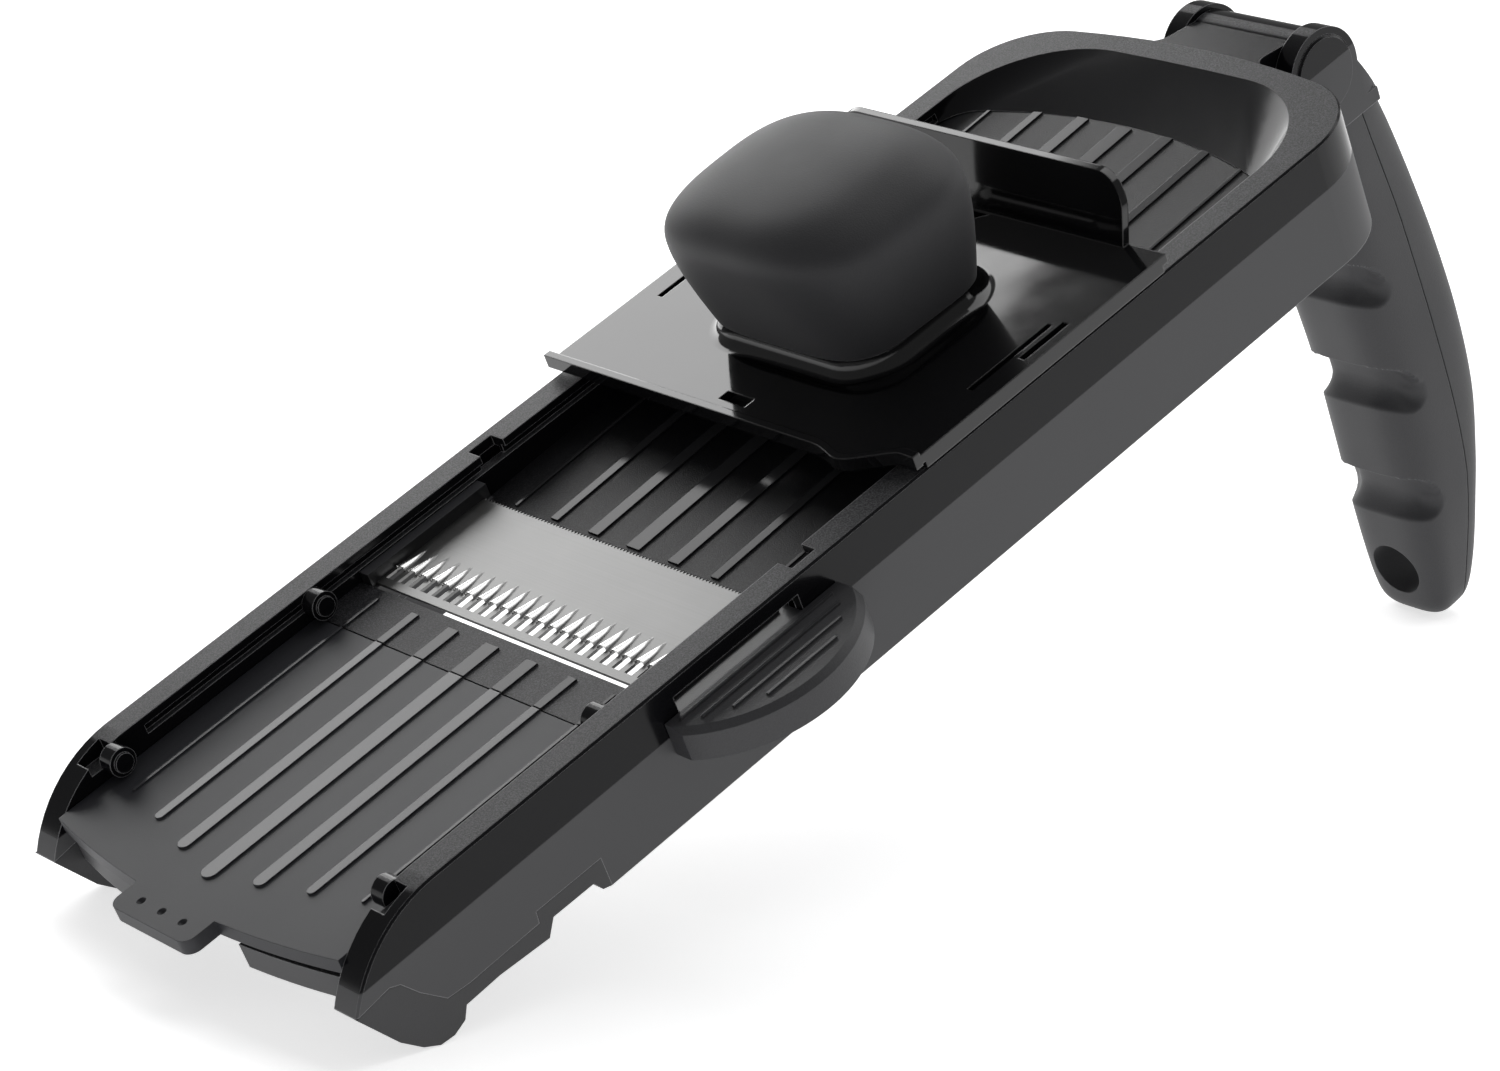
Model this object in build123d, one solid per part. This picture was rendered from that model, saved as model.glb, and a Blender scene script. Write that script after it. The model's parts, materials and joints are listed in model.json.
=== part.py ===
from build123d import *
import os
from math import cos, radians, sin

# Mandoline slicer, in millimetres.
# It is drawn in a board frame: u runs across the board, v runs up the slope and w is the board's
# normal, with w = 0 on the rail tops.  place() tilts everything by the slope and sets it on the floor.

# ---- driving sizes: board ----
slope = 24.0                # angle of the board to the floor, degrees
half_width = 66.0           # outer half width of the frame
rail_width = 8.5            # width of each rail top
wall_height = 35.0          # depth of the side walls
wall = 2.8                  # outer wall thickness
rail_skin = 3.0             # thickness of the rail tops
inner_wall = 3.2            # thickness of the channel's own walls
inner_wall_depth = 20.0     # how far the channel's walls go down
nose_v = -96.5              # low tip of the side walls
nose_curve = 30.5           # length of the curve at the low ends
nose_height = 17.5          # height of the low tip above the walls' lower edges
nose_solid = 36.5           # length of the solid low ends
rim_v = 272.0               # high end of the frame, at its middle
rim_crown = 8.0             # how much the high end is crowned over the full width
rim_corner = 26.0           # corner radius of the high end, outside
rim_inner_corner = 34.0     # corner radius of the high end, inside
scoop_length = 32.0         # from the rear scoop's low edge to the high end
scoop_crown = 10.0          # crown of that line
scoop_corner = 12.0
ramp_low_w = -11.5          # ramp surface beside the blade
ramp_high_w = -5.0          # ramp surface at the scoop
ramp_thickness = 2.6
deck_w = -8.0               # surface of the deck and the lower plate
deck_thickness = 4.0
seam_v = -6.0               # seam between the deck and the lower plate
hook_groove_w = (-4.7, -2.2)
hook_groove_depth = 1.8
notch_depth = 5.0           # rail notches where the guard's hooks drop in
notch_length = 8.0
notch_above_blade = 5.4
notch_above_nose = 18.5
rail_edge = 0.6             # chamfer along the outer edge of the rails

# ---- ribs on the ramp, the deck and the lower plate ----
rib_pitch = 15.5
rib_height = 0.5
rib_widths = (5.0, 4.0, 2.8, 1.0)        # from the middle outwards
rib_set_back = (11.8, 15.5, 19.2, 22.5)  # from the plate's front edge, from the middle outwards

# ---- lower plate, its pins and the apron below it ----
plate_front_crown = 6.0
tab_half = 16.0
tab_reach = 8.5
dimple_radius = 1.3
pin_radius = 3.8
pin_reach = 4.6
pin_above_seam = 1.0
pin_above_nose = 25.5
ledge_width = 3.0
ledge_thickness = 2.4
apron_top_w = -15.2
apron_height = 7.0
apron_thickness = 2.5
apron_length = 30.5
apron_gap_half = 19.0

# ---- blade cartridge ----
blade_low_v = 11.0
blade_width = 37.6
blade_in_wall = 3.0         # how far the blade's right end runs into the wall
blade_top_w = -8.2
blade_thickness = 0.8
carrier_thickness = 4.5
end_bar_width = 3.6
end_bar_top_w = -5.0
rivet_radius = 2.2
rivet_head = 0.8
rivet_places = (-40.0, 0.0, 40.0)
spine_half = 4.0
rivet_below_edge = 11.6     # rivets and spine, below the blade's toothed edge
tooth_pitch = 1.2
tooth_depth = 0.9
flute_pitch = 4.7
flute_count = 22
flute_mouth = 6.5           # from the blade's lower edge
flute_length = 13.5
flute_radius = 2.1
grip_reach = 24.0
grip_below_blade = 6.8
grip_above_blade = 13.4
grip_top_w = -8.5
grip_thickness = 9.0

# ---- food guard ----
guard_front_v = 89.5
guard_length = 96.5
guard_plate = 2.4
guard_top_w = 4.5
guard_over = 0.3            # how far the guard stands out past the frame
lip_width = 2.2
lip_height = 0.9
lip_reach = 2.5             # the lip's left end stands out past the guard
flange_inset = 13.0
flange_height = 17.5
flange_lean = 6.5
flange_thickness = 2.2
hook_set_back = (33.5, 56.5)
hook_length = 6.0
knob_set_back = 47.7        # from the guard's front edge to the middle of the knob
neck_top_w = 9.7
neck_margin = 0.4           # the neck stands out past the foot of the knob
neck_corner = 13.0
neck_flare = 4.2            # radius where the neck runs out into the plate
tube_play_u = 2.7           # from the tube to the hard shell round it
tube_play_v = 0.8
tube_wall = 1.8
tube_corner = 7.0
tube_top_w = 36.0

# ---- pusher ----
knob_half_u = 31.5          # foot of the knob
knob_half_v = 22.8
knob_skin = 1.8
core_skin = 2.0
piston_wall = 1.8
piston_bottom_w = -3.0
spike_radius = 0.8
spike_tip_w = -5.4
spike_pitch = (8.6, 10.5)
screw_reach = 12.0          # from the middle of the knob to each screw
screw_radius = 1.5
piston_top_w = 39.5
knob_top_w = 48.0

# ---- folding leg ----
hinge_clear = 6.5           # from the high end of the frame to the hinge's barrel
hinge_w = -15.0
hinge_pin_radius = 2.5
barrel_radius = 11.5
lug_half = 17.5
lug_flare = 5.0             # radius where the lug's sides run out into the rear wall
lug_root_rise = 5.2         # underside of the lug above the hinge axis, at the rear wall
cheek_margin = 1.5          # cheeks of the fork stand out past the barrel
cheek_thickness = 6.0
cap_margin = 2.2
cap_proud = 0.8
cap_seat = 1.2
leg_half = 17.0
collar_gap = 2.5            # between the collar and the barrel
collar_height = 4.0
hole_radius = 8.5
hole_above_tip = 16.5
groove_shares = (0.30, 0.506, 0.712)     # places down the leg, as shares of its length
groove_radius = 7.0
groove_set_forward = 8.2
core_set_back = 18.0        # back of the stiff bar, past the hinge
core_depth = 12.0
core_width = 18.0
core_share = 0.75
leg_screws = ((0.17, 26.0), (0.63, 31.0))    # share down the leg, and where the head sits
screw_hole_radius = 3.2

# ---- clearances ----
gap = 0.3                   # between pieces that move past each other
pin_gap = 0.05              # hinge pin in its lug

# ---- sizes that follow from the ones above ----
channel_half = half_width - rail_width
guard_half = half_width + guard_over
scoop_v = rim_v - scoop_length
plate_front_v = nose_v
nose_w = nose_height - wall_height
nose_start = nose_v + nose_curve
nose_solid_v = nose_v + nose_solid
pin_places = (seam_v + pin_above_seam, nose_v + pin_above_nose)
blade_high_v = blade_low_v + blade_width
flute_mouth_v = blade_low_v + flute_mouth
flute_tip_v = flute_mouth_v + flute_length
notch_places = (blade_high_v + notch_above_blade, nose_v + notch_above_nose)
ramp_v = blade_high_v + 2.6
cartridge_v = (blade_low_v - 1.5, blade_high_v + 1.8)
carrier_top_w = blade_top_w - blade_thickness
carrier_low_w = carrier_top_w - carrier_thickness
grip_low_v = blade_low_v - grip_below_blade
grip_high_v = blade_high_v + grip_above_blade
guard_rear_v = guard_front_v + guard_length
guard_low_w = guard_top_w - guard_plate
knob_v = guard_front_v + knob_set_back
hook_places = [guard_front_v + back for back in hook_set_back]
hinge_v = rim_v + hinge_clear + barrel_radius
tube_half_u = knob_half_u - knob_skin - core_skin - tube_play_u
tube_half_v = knob_half_v - knob_skin - core_skin - tube_play_v
cheek_radius = barrel_radius + cheek_margin
cap_radius = cheek_radius - cap_margin
leg_top_w = hinge_w - barrel_radius - collar_gap - collar_height
fork_inner = lug_half + gap
fork_outer = fork_inner + cheek_thickness
core_back_v = hinge_v + core_set_back
sole = [(nose_v + v, w - wall_height) for v, w in (      # underside of the foot, up the slope
    (0.0, nose_height), (2.3, 13.5), (7.3, 4.8), (12.0, -0.6), (16.1, -3.3), (20.2, -3.7),
    (24.1, -2.3), (26.0, 0.8), (36.6, 1.1), (51.9, 0.0), (54.9, 4.0), (67.9, 3.8), (69.5, 0.8),
    (72.0, 0.0))]
parting = [(nose_v + v, w - wall_height) for v, w in (   # joint between foot and wall, back down
    (72.0, 8.2), (51.4, 8.4), (51.0, 5.2), (29.0, 5.0), (22.4, 5.7), (16.8, 12.0), (13.3, 17.3),
    (10.5, 18.6))]
floor_level = min(v * sin(radians(slope)) + w * cos(radians(slope)) for v, w in sole)
leg_tip_v = hinge_v - 0.5   # the leg stands on the front edge of its tip
leg_end_w = (floor_level - leg_tip_v * sin(radians(slope))) / cos(radians(slope))


# ---- helpers ----
def leg_level(share):
    """Level at a share of the leg's length, from its collar down to its tip."""
    return leg_top_w + share * (leg_end_w - leg_top_w)


def block(u0, u1, v0, v1, w0, w1):
    """A box between two corners of the board frame."""
    return Pos((u0 + u1) / 2, (v0 + v1) / 2, (w0 + w1) / 2) * Box(u1 - u0, v1 - v0, w1 - w0)


def side_prism(points, u0, u1):
    """A prism across the board, from an outline of (v, w) points."""
    face = make_face(Polyline(*points, close=True))
    return extrude(Plane.YZ.offset(u0) * face, amount=u1 - u0)


def plan_prism(face, w0, w1):
    """A prism square to the board, from a plan face."""
    return extrude(Pos(0, 0, w0) * face, amount=w1 - w0)


def across(radius, u0, u1, v, w):
    """A round bar that runs across the board."""
    return extrude(Plane.YZ.offset(u0) * Pos(v, w) * Circle(radius), amount=u1 - u0)


def rounded(half_u, half_v, corner, v=0.0):
    """A rounded rectangle in plan, centred on u = 0."""
    return Pos(0, v) * RectangleRounded(2 * half_u, 2 * half_v, corner)


def both(shape):
    """A piece and its mirror image on the other side of the board."""
    return [shape, mirror(shape, Plane.YZ)]


def merge(shapes):
    """One shape from many."""
    result = shapes[0]
    for shape in shapes[1:]:
        result = result + shape
    return result


def end_outline(half, v0, v1, crown, corner):
    """Plan of a board end: straight sides, a crowned far edge and two round corners."""
    edges = [
        Line((-half, v0), (half, v0)),
        Line((half, v0), (half, v1 - crown)),
        ThreePointArc((half, v1 - crown), (0, v1), (-half, v1 - crown)),
        Line((-half, v1 - crown), (-half, v0)),
    ]
    face = make_face(edges)
    corners = face.vertices().filter_by(lambda p: p.Y > v0 + 1)
    return fillet(corners, corner)


def rib_row(v_ends, top_at):
    """Seven flat ribs; v_ends gives each rib's two ends, top_at its two surface levels."""
    ribs = []
    for step in range(-3, 4):
        width = rib_widths[abs(step)]
        low, high = v_ends(abs(step))
        low_w, high_w = top_at(low), top_at(high)
        points = [(low, low_w - 1), (low, low_w), (high, high_w), (high, high_w - 1)]
        u = step * rib_pitch
        ribs.append(side_prism(points, u - width / 2, u + width / 2))
    return ribs


# ---- frame ----
def wall_outline():
    """Side view of a wall: level top, curved nose, level bottom."""
    edges = [
        Line((rim_v, 0), (nose_start, 0)),
        ThreePointArc((nose_start, 0), (nose_start - 18.5, 0.314 * nose_w), (nose_v, nose_w)),
        Line((nose_v, nose_w), (nose_v, -wall_height)),
        Line((nose_v, -wall_height), (rim_v, -wall_height)),
        Line((rim_v, -wall_height), (rim_v, 0)),
    ]
    return extrude(Plane.YZ.offset(-half_width - 1) * make_face(edges), amount=2 * half_width + 2)


def top_edges(shape):
    """The outer edges round the top of the frame, along its sides and its high end."""
    def wanted(edge):
        low_end = edge.bounding_box().max.Y < nose_v + 1
        crosswise = abs(edge.tangent_at(0.5).X) > 0.99 and edge.center().Y < 0
        upright = abs(edge.tangent_at(0.5).Z) > 0.99
        return not (low_end or crosswise or upright) and edge.center().Z > nose_w + 1
    return shape.edges().filter_by(wanted)


def foot():
    """Rubber foot under the nose of the right wall."""
    return side_prism(sole + parting, channel_half, half_width)


def foot_seat():
    """All that lies below the joint between foot and wall."""
    below = [(parting[0][0], -wall_height - 1), (nose_v - 2, -wall_height - 1),
             (nose_v - 2, nose_w), (nose_v, nose_w)]
    return side_prism(parting[::-1] + below, channel_half - 1, half_width + 1)


def scoop(grow=0.0):
    """The hollow of the rear scoop, from the ramp's end up to the rim's inner edge."""
    low = end_outline(channel_half + grow, scoop_v - 45, scoop_v + grow, scoop_crown, scoop_corner)
    high = end_outline(channel_half + grow, scoop_v - 45, rim_v - rail_width + grow,
                       rim_crown / 4, rim_inner_corner)
    return loft([Pos(0, 0, ramp_high_w - grow) * low, high])


def ramp_outline(play=0.0):
    """Plan of the ramp: it ends on the scoop's lower line."""
    return end_outline(channel_half - play, ramp_v, scoop_v - play, scoop_crown, scoop_corner)


def make_main_frame():
    """Rails, side walls, rear rim and scoop, as one moulding."""
    plan = end_outline(half_width, nose_v - 1, rim_v, rim_crown, rim_corner)
    inside = end_outline(half_width - wall, nose_solid_v, rim_v - wall, rim_crown, rim_corner - wall)
    frame = plan_prism(plan, -wall_height, 0) & wall_outline()
    frame = chamfer(top_edges(frame), rail_edge)
    frame = frame - plan_prism(inside, -wall_height - 1, -rail_skin)
    walls = both(block(channel_half - 0.5, channel_half + inner_wall, nose_solid_v - 1,
                       scoop_v - scoop_crown, -inner_wall_depth, -1))
    shell = scoop(ramp_thickness) & plan_prism(plan, -wall_height, -0.5)
    frame = frame + merge(walls) + shell
    frame = frame - block(-channel_half, channel_half, nose_v - 5, scoop_v - 40, -wall_height - 1, 1)
    frame = frame - scoop() - plan_prism(ramp_outline(), -wall_height - 1, ramp_high_w + 0.01)
    frame = frame - block(-channel_half, channel_half, scoop_v - 45, scoop_v - 25, -1, 1)
    frame = frame + merge(ledges()) + make_lug()
    frame = frame - merge(frame_cuts())
    return frame


def ledges():
    """Ledges under the lower plate, the deck, the cartridge and the ramp."""
    top = deck_w - deck_thickness
    low = block(channel_half - ledge_width, channel_half + 0.5, plate_front_v + 10, seam_v,
                top - gap - ledge_thickness, top - gap)
    seat = block(-channel_half - 0.5, -channel_half + ledge_width, *cartridge_v,
                 carrier_low_w - gap - ledge_thickness, carrier_low_w - gap)
    return both(low) + [seat]


def make_lug():
    """The hinge lug that flares out of the rear wall, with its barrel."""
    root_v = rim_v - 3.0
    points = [
        (root_v, -1.2), (hinge_v - 3.0, hinge_w + barrel_radius - 0.4), (hinge_v, hinge_w),
        (hinge_v - barrel_radius + 1.0, hinge_w - 3.0),
        (hinge_v - barrel_radius - 1.4, hinge_w + lug_root_rise),
        (root_v, hinge_w + lug_root_rise),
    ]
    half = lug_half + lug_flare
    plan = make_face(Polyline((-half, root_v), (half, root_v), (half, hinge_v), (-half, hinge_v),
                              close=True))
    for side in (-1, 1):
        plan = plan - Pos(side * half, rim_v + lug_flare) * Circle(lug_flare)
        plan = plan - Pos(side * (half - lug_flare / 2), (rim_v + lug_flare + hinge_v + 1) / 2) * \
            Rectangle(lug_flare, hinge_v + 1 - rim_v - lug_flare)
    body = side_prism(points, -half, half) & plan_prism(plan, -wall_height, 0)
    return body + across(barrel_radius, -lug_half, lug_half, hinge_v, hinge_w)


def frame_cuts():
    """Everything that is cut out of the frame."""
    groove = block(channel_half - 1, channel_half + hook_groove_depth, nose_solid_v,
                   scoop_v - 16, *hook_groove_w)
    cuts = both(groove)
    for low in notch_places:
        cuts += both(block(channel_half - 1, channel_half + notch_depth, low, low + notch_length,
                           hook_groove_w[0], 1))
    cuts.append(block(channel_half - 8, half_width + 1, cartridge_v[0] - gap, cartridge_v[1] + gap,
                      carrier_low_w - rivet_head - gap, end_bar_top_w + 0.6))
    cuts += both(foot_seat())
    neck_half = fork_outer + gap + 1.2
    cuts.append(block(-neck_half, neck_half, rim_v - 20, rim_v + 1, -wall_height - 1,
                      hinge_w + lug_root_rise))
    cuts.append(across(hinge_pin_radius + pin_gap, -lug_half - 1, lug_half + 1, hinge_v, hinge_w))
    return cuts


def ramp_level(v):
    """Level of the ramp's surface."""
    rise = (ramp_high_w - ramp_low_w) / (scoop_v - ramp_v)
    return ramp_low_w + (v - ramp_v) * rise


def make_ramp():
    """The ribbed infeed ramp."""
    end = scoop_v + 1
    slab = side_prism([(ramp_v, ramp_level(ramp_v)), (end, ramp_level(end)),
                       (end, ramp_level(end) - ramp_thickness),
                       (ramp_v, ramp_level(ramp_v) - ramp_thickness)],
                      -channel_half, channel_half)
    ribs = rib_row(lambda n: (ramp_v + 1.0, scoop_v - 1.0), lambda v: ramp_level(v) + rib_height)
    whole = merge([slab] + ribs)
    return whole & plan_prism(ramp_outline(), -wall_height, 0)


def make_deck():
    """The grained deck between the lower plate and the blade."""
    slab = block(-channel_half, channel_half, seam_v + 0.1, cartridge_v[0] - gap,
                 deck_w - deck_thickness, deck_w)
    ribs = rib_row(lambda n: (seam_v + 0.1, cartridge_v[0] - 3.5), lambda v: deck_w + rib_height)
    return merge([slab] + ribs)


def make_apron():
    """The curved strip and floor below the lower plate, with a finger gap in the middle."""
    low = apron_top_w - apron_height
    front = end_outline_front(channel_half, plate_front_v + 1.5, plate_front_crown)
    behind = end_outline_front(channel_half, plate_front_v + 1.5 + apron_thickness,
                               plate_front_crown)
    strip = plan_prism(front - behind, low, apron_top_w)
    floor = plan_prism(front, low, low + 2.0)
    keep = block(-channel_half, channel_half, plate_front_v - 5, plate_front_v + apron_length,
                 low, apron_top_w)
    gap_cut = block(-apron_gap_half, apron_gap_half, plate_front_v - 5, plate_front_v + 17,
                    low - 1, apron_top_w + 1)
    return ((strip + floor) & keep) - gap_cut


def end_outline_front(half, v_front, crown):
    """Plan from a crowned front edge back up the slope."""
    edges = [
        ThreePointArc((-half, v_front + crown), (0, v_front), (half, v_front + crown)),
        Line((half, v_front + crown), (half, seam_v)),
        Line((half, seam_v), (-half, seam_v)),
        Line((-half, seam_v), (-half, v_front + crown)),
    ]
    return make_face(edges)


def make_pins():
    """Four round pins that hold the lower plate down."""
    pins = []
    for v in pin_places:
        w = deck_w + gap + pin_radius
        pin = across(pin_radius, channel_half - pin_reach, channel_half, v, w)
        head = across(pin_radius - 1.2, channel_half - pin_reach - 0.8, channel_half - 1, v, w)
        pins += both(pin + head)
    return Compound(children=pins)


# ---- lower plate ----
def make_lower_plate():
    """The sliding lower plate with its ribs and its dimpled tab."""
    side = channel_half - gap
    plate = end_outline_front(side, plate_front_v, plate_front_crown)
    tab = Pos(0, plate_front_v - tab_reach / 2 + 3) * RectangleRounded(
        2 * tab_half, tab_reach + 6, 3.4)
    solid = plan_prism(plate + tab, deck_w - deck_thickness, deck_w)
    ribs = rib_row(lambda n: (plate_front_v + rib_set_back[n], seam_v),
                   lambda v: deck_w + rib_height)
    solid = merge([solid] + ribs + rib_tips())
    for step in (-1, 0, 1):
        place_v = plate_front_v - tab_reach * 0.42
        solid = solid - Pos(step * 8.5, place_v, deck_w + 0.5) * Sphere(dimple_radius)
    return solid & block(-side, side, plate_front_v - 20, seam_v - gap, deck_w - 10, deck_w + 2)


def rib_tips():
    """Round low ends of the lower plate's ribs."""
    tips = []
    for step in range(-3, 4):
        n = abs(step)
        disc = Pos(step * rib_pitch, plate_front_v + rib_set_back[n]) * Circle(rib_widths[n] / 2)
        tips.append(plan_prism(disc, deck_w - 1, deck_w + rib_height))
    return tips


# ---- blade cartridge ----
def make_carrier():
    """The plastic carrier under the blade, with its raised bar at the left end."""
    left = -channel_half + gap
    right = half_width + gap
    middle = blade_high_v - rivet_below_edge
    spine = block(left, right, middle - spine_half, middle + spine_half, carrier_low_w,
                  carrier_top_w)
    ends = block(left, left + end_bar_width + 1, *cartridge_v, carrier_low_w, carrier_top_w)
    bar = block(left, left + end_bar_width, *cartridge_v, carrier_low_w, end_bar_top_w)
    right_end = block(channel_half - 4, right, *cartridge_v, carrier_low_w, carrier_top_w)
    return merge([spine, ends, bar, right_end])


def make_blade():
    """One steel plate: fine teeth on the upper edge, a row of hollow flutes near the lower one."""
    left = -channel_half + gap + end_bar_width
    right = channel_half + blade_in_wall
    teeth = [(left, blade_high_v - tooth_depth)]
    count = int((channel_half - left) / tooth_pitch)
    for i in range(count):
        teeth.append((left + (i + 0.5) * tooth_pitch, blade_high_v))
        teeth.append((left + (i + 1) * tooth_pitch, blade_high_v - tooth_depth))
    outline = [(left, blade_low_v)] + teeth + [(right, blade_high_v - tooth_depth),
                                               (right, blade_low_v)]
    plate = plan_prism(make_face(Polyline(*outline, close=True)), carrier_top_w, blade_top_w)
    length = flute_tip_v - flute_mouth_v
    first = left + flute_pitch / 2
    for i in range(flute_count):
        u = first + i * flute_pitch
        seat = Plane((u, flute_tip_v, carrier_top_w), x_dir=(1, 0, 0), z_dir=(0, -1, 0))
        outer = seat * extrude_cone(0.2, flute_radius, length)
        inner = seat * extrude_cone(0.1, flute_radius - 0.55, length + 0.5)
        keep = block(u - 3, u + 3, flute_mouth_v, flute_tip_v, carrier_top_w, carrier_top_w + 4)
        mouth = block(u - 1.4, u + 1.4, flute_mouth_v - 4.0, flute_mouth_v + 0.2,
                      carrier_top_w - 1, blade_top_w + 1)
        plate = plate + (outer & keep) - inner - mouth
    return plate


def extrude_cone(r0, r1, length):
    """A cone whose small end is at the origin."""
    return Pos(0, 0, length / 2) * Cone(r0, r1, length)


def make_rivets():
    """Rivets that hold the blade on its carrier, seen from below."""
    rivets = []
    for u in rivet_places:
        place = Pos(u, blade_high_v - rivet_below_edge, carrier_low_w - rivet_head / 2)
        rivets.append(place * Cylinder(rivet_radius, rivet_head))
    return Compound(children=rivets)


def make_grip():
    """The crescent pull outside the right wall."""
    u0 = half_width + gap
    outer = ThreePointArc((u0 + 5.5, grip_low_v), (u0 + grip_reach - 0.5, grip_low_v + 29.8),
                          (u0 + 8.5, grip_high_v))
    edges = [
        outer,
        Line((u0 + 8.5, grip_high_v), (u0, grip_high_v)),
        Line((u0, grip_high_v), (u0, grip_low_v)),
        Line((u0, grip_low_v), (u0 + 5.5, grip_low_v)),
    ]
    solid = plan_prism(make_face(edges), grip_top_w - grip_thickness, grip_top_w)
    rim = solid.edges().filter_by(GeomType.CIRCLE).sort_by(Axis.Z)[-1]
    solid = chamfer(rim, 1.6)
    ridges = []
    for step, (low, high) in enumerate(((2.8, 4.0), (5.8, 6.0), (11.8, 10.0), (18.8, 16.0))):
        u = u0 + 2.2 + step * 4.6
        ridges.append(block(u, u + 0.9, grip_low_v + low, grip_high_v - high,
                            grip_top_w - 0.5, grip_top_w + 0.6))
    return merge([solid] + ridges)


# ---- food guard ----
def guard_outline(front_v):
    """Plan of the guard's plate; its front edge swings back at the right-hand end."""
    start = guard_half - 32.3
    edges = [
        Line((-guard_half, front_v), (start, front_v)),
        Spline((start, front_v), (start + 13.0, front_v - 2.4), (start + 20.5, front_v + 1.6),
               (start + 26.0, front_v + 5.2), (guard_half, front_v + 5.4),
               tangents=((1, 0), (1, 0))),
        Line((guard_half, front_v + 5.4), (guard_half, guard_rear_v)),
        Line((guard_half, guard_rear_v), (-guard_half, guard_rear_v)),
        Line((-guard_half, guard_rear_v), (-guard_half, front_v)),
    ]
    return make_face(edges)


def make_lip():
    """The raised bead along the guard's front edge, with its end standing out on the left."""
    low, high = guard_low_w - 0.5, guard_top_w + lip_height
    strip = guard_outline(guard_front_v - 0.6) - guard_outline(guard_front_v - 0.6 + lip_width)
    end = block(-guard_half - lip_reach, -guard_half + 1, guard_front_v - 0.6,
                guard_front_v - 0.6 + lip_width, low, high)
    return plan_prism(strip, low, high) + end


def add_neck(plate):
    """The plate with the neck that flares up from it to the foot of the knob."""
    outline = rounded(knob_half_u + neck_margin, knob_half_v + neck_margin, neck_corner, knob_v)
    neck = plan_prism(outline, guard_low_w, neck_top_w)
    rim = neck.edges().group_by(Axis.Z)[-1]
    joined = plate + fillet(rim, 0.7)

    def at_foot(edge):
        box = edge.bounding_box()
        inside = box.max.X - box.min.X < 2 * knob_half_u and box.max.Y < knob_v + knob_half_v + 2
        return abs(box.min.Z - guard_top_w) < 0.01 and abs(box.max.Z - guard_top_w) < 0.01 \
            and inside and box.min.Y > knob_v - knob_half_v - 2
    return fillet(joined.edges().filter_by(at_foot), neck_flare)


def make_guard():
    """The guard: plate, skirts, front lip, rear flange, neck, tube and hooks."""
    parts = [add_neck(plan_prism(guard_outline(guard_front_v), guard_low_w, guard_top_w))]
    parts += both(block(guard_half - 2.0, guard_half, guard_front_v + 8, guard_rear_v - 2, gap,
                        guard_low_w + 0.1))
    parts += [make_lip(), make_flange()]
    parts.append(plan_prism(rounded(tube_half_u, tube_half_v, tube_corner, knob_v), guard_low_w,
                            tube_top_w))
    for v in hook_places:
        web = block(channel_half - 2.3, channel_half - gap, v, v + hook_length,
                    hook_groove_w[0] + gap, guard_low_w + 0.1)
        tongue = block(channel_half - 1, channel_half + hook_groove_depth - gap, v, v + hook_length,
                       hook_groove_w[0] + gap, hook_groove_w[1] - gap)
        parts += both(web + tongue)
    guard = merge(parts)
    bore = rounded(tube_half_u - tube_wall, tube_half_v - tube_wall, tube_corner - tube_wall, knob_v)
    guard = guard - plan_prism(bore, guard_low_w - 5, tube_top_w + 1)
    return guard - merge(guard_slots())


def make_flange():
    """The rear flange: it leans back and has round upper corners."""
    foot_v = guard_rear_v - flange_thickness
    flange_half = guard_half - flange_inset
    top_w = guard_top_w + flange_height
    lean = side_prism([(foot_v, guard_top_w - 1.0), (guard_rear_v, guard_top_w - 1.0),
                       (guard_rear_v + flange_lean, top_w), (foot_v + flange_lean, top_w)],
                      -flange_half, flange_half)
    tall = flange_height + 12.0
    face = Pos(0, top_w - tall / 2) * RectangleRounded(2 * flange_half, tall, 9.0)
    front = extrude(Plane.XZ.offset(-guard_rear_v - 20) * face, amount=40)
    return lean & front


def guard_slots():
    """Slots through the guard's plate, above its hooks and at its front and rear edges."""
    low = guard_low_w - 1
    high = guard_top_w + 1
    slots = []
    for side in (-1, 1):
        for inset, width, v0, v1 in ((7.7, 1.8, 32.5, 61.5), (4.1, 2.2, 47.5, 63.5)):
            u = side * (guard_half - inset)
            slots.append(block(u - width / 2, u + width / 2, guard_front_v + v0,
                               guard_front_v + v1, low, high))
    slots.append(block(-5.0, 5.0, guard_front_v + 4.5, guard_front_v + 8.0, low, high))
    notch = make_face(Polyline((-5.5, guard_rear_v - 2.4), (5.5, guard_rear_v - 2.4),
                               (0.0, guard_rear_v - 7.5), close=True))
    slots.append(plan_prism(notch, low, high))
    return slots


# ---- pusher ----
def knob_form(inset, top):
    """The knob's outer form, set in by inset, up to the level top."""
    stations = ((0.0, 0.0, 0.0, 13.0), (0.4, 2.6, 3.4, 15.0), (0.75, 4.0, 5.6, 16.5),
                (0.9, 0.8, 3.4, 16.5), (1.0, -9.0, -4.3, 14.0))
    base = neck_top_w + gap
    faces = []
    for share, spread_u, spread_v, corner in stations:
        face = rounded(knob_half_u + spread_u - inset, knob_half_v + spread_v - inset,
                       corner - inset, knob_v)
        faces.append(Pos(0, 0, base + share * (top - base)) * face)
    return loft(faces)


def make_knob_cover():
    """The soft cover of the knob."""
    return knob_form(0.0, knob_top_w) - knob_form(knob_skin, knob_top_w - knob_skin)


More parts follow.
